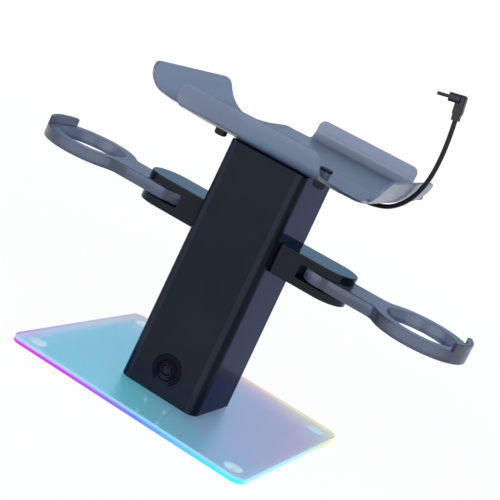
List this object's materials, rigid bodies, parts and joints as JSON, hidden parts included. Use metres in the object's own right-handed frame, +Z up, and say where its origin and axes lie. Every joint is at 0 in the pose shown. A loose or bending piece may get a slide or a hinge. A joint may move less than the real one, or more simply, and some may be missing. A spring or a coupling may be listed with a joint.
{
  "type": "vr charging dock",
  "caption": "Clear-based charging stand: upright column carries a curved tray for a head-worn display, swivelling ring arms for hand controllers, and a short plug cable.",
  "frame": {"origin": "On the table plane, under the middle of the dock's bounding box measured without its cable and plug. The base plate's centre lies 27.75 mm in front of it, the column's front face about 74 mm in front of it.", "axes": "+Z up. The column's glossy front with the touch mark faces -Y, the cable leaves towards +X, the tray's long rear floor runs towards +Y. Left and right arms mirror each other across the YZ plane."},
  "size_m": [0.3604, 0.2591, 0.291],
  "materials": {
    "clear_sheet": "clear polished acrylic sheet, edge lit",
    "clear_rubber": "clear soft bumper",
    "post_shell": "moulded, high gloss black",
    "bracket_black": "moulded, gloss black",
    "arm_frosted": "tinted translucent plastic, satin to gloss",
    "cradle_frosted": "tinted translucent acrylic, formed and polished",
    "black_rubber": "matt soft black",
    "plug_plastic": "fine grained",
    "screw_steel": "black zinc",
    "pin_steel": "ground",
    "ballast_steel": "sawn and plated",
    "inlet_metal": "drawn shell, nickel",
    "washer_plastic": "smooth",
    "board": "lacquered board",
    "light_print": "light guide"
  },
  "bodies": {
    "dock": {"base_plate": "clear_sheet", "foot_pads": "clear_rubber", "base_screws": "screw_steel", "ballast_block": "ballast_steel", "post_front_shell": "post_shell", "post_rear_cover": "post_shell", "cover_screws": "screw_steel", "touch_mark": "light_print", "light_board": "board", "circuit_board": "board", "power_inlet": "inlet_metal", "bracket_left": "bracket_black", "bracket_right": "bracket_black", "bracket_screws": "screw_steel", "hinge_pin_left": "pin_steel", "hinge_pin_right": "pin_steel", "washers_left": "washer_plastic", "washers_right": "washer_plastic", "headset_cradle": "cradle_frosted", "cradle_screws": "screw_steel", "rubber_rests": "black_rubber", "cable_boot": "black_rubber", "headset_cable": "black_rubber", "plug_body": "plug_plastic", "plug_shell": "inlet_metal"},
    "arm_left": {"controller_arm_left": "arm_frosted"},
    "arm_right": {"controller_arm_right": "arm_frosted"}
  },
  "joints": [
    {"name": "swing_left", "type": "hinge", "parent": "dock", "child": "arm_left", "pos_m": [-0.0694, -0.04315, 0.1351], "axis": [0, 0, 1], "range_deg": [-75, 75]},
    {"name": "swing_right", "type": "hinge", "parent": "dock", "child": "arm_right", "pos_m": [0.0694, -0.04315, 0.1351], "axis": [0, 0, 1], "range_deg": [-75, 75]}
  ]
}
